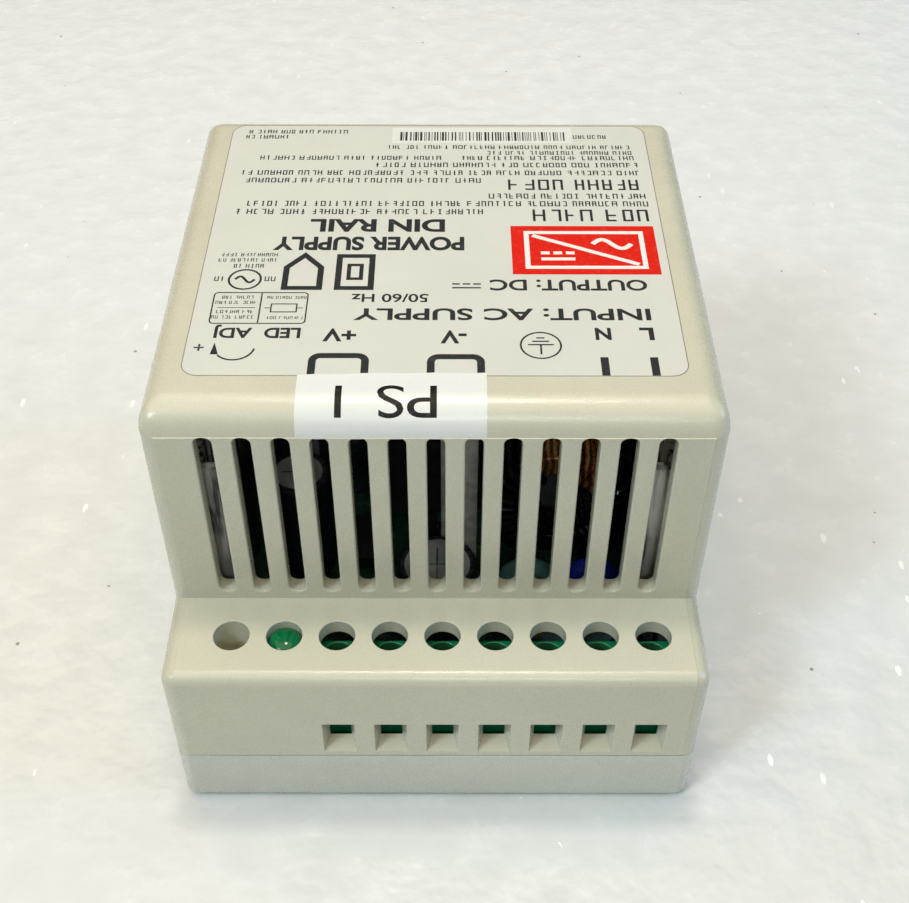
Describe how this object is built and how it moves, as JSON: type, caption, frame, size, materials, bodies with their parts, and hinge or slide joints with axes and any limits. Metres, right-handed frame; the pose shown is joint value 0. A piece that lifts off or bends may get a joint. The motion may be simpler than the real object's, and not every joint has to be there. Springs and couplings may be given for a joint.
{
  "type": "din rail power supply",
  "caption": "Box-shaped DIN rail power supply with a vented stepped cover, a shelf of screw terminals, a rail channel and a sprung rail latch.",
  "frame": {"origin": "middle of the bottom face of the bounding box, where the base's rail side rests", "axes": "+X right when looking at the terminal face, +Y from the terminal face to the latch tab, +Z from the rail side to the label face"},
  "size_m": [0.078, 0.093, 0.0671],
  "materials": {
    "cover_plastic": "fine moulded texture, warm beige, slightly satin",
    "base_plastic": "fine moulded texture, cooler grey beige, satin",
    "label_film": "printed film, satin",
    "sticker_paper": "smooth white paper tape",
    "latch_plastic": "black moulded plastic, satin",
    "spring_wire": "drawn spring wire",
    "board_laminate": "green solder mask over glass laminate",
    "block_plastic": "green moulded terminal plastic",
    "zinc_steel": "zinc plated steel",
    "clamp_steel": "zinc plated steel, stamped",
    "contact_brass": "tinned brass",
    "tinned_wire": "tinned wire",
    "led_lens": "green tinted diffused epoxy",
    "black_plastic": "black moulding compound",
    "trimmer_plastic": "tan thermoset",
    "rotor_plastic": "cream thermoplastic",
    "ferrite": "dark grey ferrite",
    "tape": "yellow polyester tape",
    "copper_wire": "enamelled copper wire",
    "capacitor_sleeve": "black sleeve with a grey stripe, bare aluminium top",
    "film_box": "yellow moulded box",
    "blue_coating": "blue epoxy dip",
    "thermistor_coating": "dark green coating",
    "fuse_body": "ceramic tube with nickel caps",
    "heatsink_metal": "bare rolled aluminium sheet",
    "barrier_card": "insulating fibre card"
  },
  "bodies": {
    "housing": {"housing_cover": "cover_plastic", "base_housing": "base_plastic", "rating_label": "label_film", "asset_sticker": "sticker_paper", "latch_spring": "spring_wire", "circuit_board": "board_laminate", "board_screw_front": "zinc_steel", "board_screw_rear": "zinc_steel", "terminal_block": "block_plastic", "status_led": "led_lens", "led_spacer": "black_plastic", "led_anode_lead": "tinned_wire", "led_cathode_lead": "tinned_wire", "trimmer_body": "trimmer_plastic", "transformer_core": "ferrite", "transformer_winding": "tape", "line_choke_core": "ferrite", "line_choke_winding_a": "copper_wire", "line_choke_winding_b": "copper_wire", "output_choke": "ferrite", "bulk_capacitor": "capacitor_sleeve", "output_capacitor_1": "capacitor_sleeve", "output_capacitor_2": "capacitor_sleeve", "output_capacitor_3": "capacitor_sleeve", "x_capacitor": "film_box", "y_capacitor": "blue_coating", "varistor": "blue_coating", "inrush_thermistor": "thermistor_coating", "fuse": "fuse_body", "bridge_rectifier": "black_plastic", "switch_transistor": "black_plastic", "output_diode": "black_plastic", "optocoupler": "black_plastic", "controller_chip": "black_plastic", "primary_heatsink": "heatsink_metal", "secondary_heatsink": "heatsink_metal", "insulation_barrier": "barrier_card", "terminal_contact_1": "contact_brass", "terminal_contact_2": "contact_brass", "terminal_contact_3": "contact_brass", "terminal_contact_4": "contact_brass", "terminal_contact_5": "contact_brass", "terminal_contact_6": "contact_brass", "terminal_contact_7": "contact_brass"},
    "latch": {"din_latch": "latch_plastic"},
    "trimmer": {"trimmer_rotor": "rotor_plastic"},
    "screw_1": {"terminal_screw_1": "zinc_steel"},
    "clamp_1": {"wire_clamp_1": "clamp_steel"},
    "screw_2": {"terminal_screw_2": "zinc_steel"},
    "clamp_2": {"wire_clamp_2": "clamp_steel"},
    "screw_3": {"terminal_screw_3": "zinc_steel"},
    "clamp_3": {"wire_clamp_3": "clamp_steel"},
    "screw_4": {"terminal_screw_4": "zinc_steel"},
    "clamp_4": {"wire_clamp_4": "clamp_steel"},
    "screw_5": {"terminal_screw_5": "zinc_steel"},
    "clamp_5": {"wire_clamp_5": "clamp_steel"},
    "screw_6": {"terminal_screw_6": "zinc_steel"},
    "clamp_6": {"wire_clamp_6": "clamp_steel"},
    "screw_7": {"terminal_screw_7": "zinc_steel"},
    "clamp_7": {"wire_clamp_7": "clamp_steel"}
  },
  "joints": [
    {"name": "latch_slide", "type": "slide", "parent": "housing", "child": "latch", "axis": [0, 1, 0], "range_m": [0, 0.003], "stiffness_N_per_m": 900, "springref_m": -0.003, "deforming": ["latch_spring"]},
    {"name": "trimmer_turn", "type": "hinge", "parent": "housing", "child": "trimmer", "pos_m": [-0.02951, -0.0386, 0.0175], "axis": [0, 0, 1], "range_deg": [-135, 135]},
    {"name": "screw_1_turn", "type": "hinge", "parent": "housing", "child": "screw_1", "pos_m": [-0.01427, -0.0386, 0.0225], "axis": [0, 0, 1], "range_deg": [-1296, 0]},
    {"name": "screw_2_turn", "type": "hinge", "parent": "housing", "child": "screw_2", "pos_m": [-0.00665, -0.0386, 0.0225], "axis": [0, 0, 1], "range_deg": [-1296, 0]},
    {"name": "screw_3_turn", "type": "hinge", "parent": "housing", "child": "screw_3", "pos_m": [0.00097, -0.0386, 0.0225], "axis": [0, 0, 1], "range_deg": [-1296, 0]},
    {"name": "screw_4_turn", "type": "hinge", "parent": "housing", "child": "screw_4", "pos_m": [0.00859, -0.0386, 0.0225], "axis": [0, 0, 1], "range_deg": [-1296, 0]},
    {"name": "screw_5_turn", "type": "hinge", "parent": "housing", "child": "screw_5", "pos_m": [0.01621, -0.0386, 0.0225], "axis": [0, 0, 1], "range_deg": [-1296, 0]},
    {"name": "screw_6_turn", "type": "hinge", "parent": "housing", "child": "screw_6", "pos_m": [0.02383, -0.0386, 0.0225], "axis": [0, 0, 1], "range_deg": [-1296, 0]},
    {"name": "screw_7_turn", "type": "hinge", "parent": "housing", "child": "screw_7", "pos_m": [0.03145, -0.0386, 0.0225], "axis": [0, 0, 1], "range_deg": [-1296, 0]},
    {"name": "clamp_1_rise", "type": "slide", "parent": "housing", "child": "clamp_1", "axis": [0, 0, 1], "range_m": [0, 0.0018]},
    {"name": "clamp_2_rise", "type": "slide", "parent": "housing", "child": "clamp_2", "axis": [0, 0, 1], "range_m": [0, 0.0018]},
    {"name": "clamp_3_rise", "type": "slide", "parent": "housing", "child": "clamp_3", "axis": [0, 0, 1], "range_m": [0, 0.0018]},
    {"name": "clamp_4_rise", "type": "slide", "parent": "housing", "child": "clamp_4", "axis": [0, 0, 1], "range_m": [0, 0.0018]},
    {"name": "clamp_5_rise", "type": "slide", "parent": "housing", "child": "clamp_5", "axis": [0, 0, 1], "range_m": [0, 0.0018]},
    {"name": "clamp_6_rise", "type": "slide", "parent": "housing", "child": "clamp_6", "axis": [0, 0, 1], "range_m": [0, 0.0018]},
    {"name": "clamp_7_rise", "type": "slide", "parent": "housing", "child": "clamp_7", "axis": [0, 0, 1], "range_m": [0, 0.0018]}
  ],
  "couplings": [
    {"joint": "screw_1_turn", "follows": "clamp_1_rise", "rad_per_m": -12566},
    {"joint": "screw_2_turn", "follows": "clamp_2_rise", "rad_per_m": -12566},
    {"joint": "screw_3_turn", "follows": "clamp_3_rise", "rad_per_m": -12566},
    {"joint": "screw_4_turn", "follows": "clamp_4_rise", "rad_per_m": -12566},
    {"joint": "screw_5_turn", "follows": "clamp_5_rise", "rad_per_m": -12566},
    {"joint": "screw_6_turn", "follows": "clamp_6_rise", "rad_per_m": -12566},
    {"joint": "screw_7_turn", "follows": "clamp_7_rise", "rad_per_m": -12566}
  ]
}
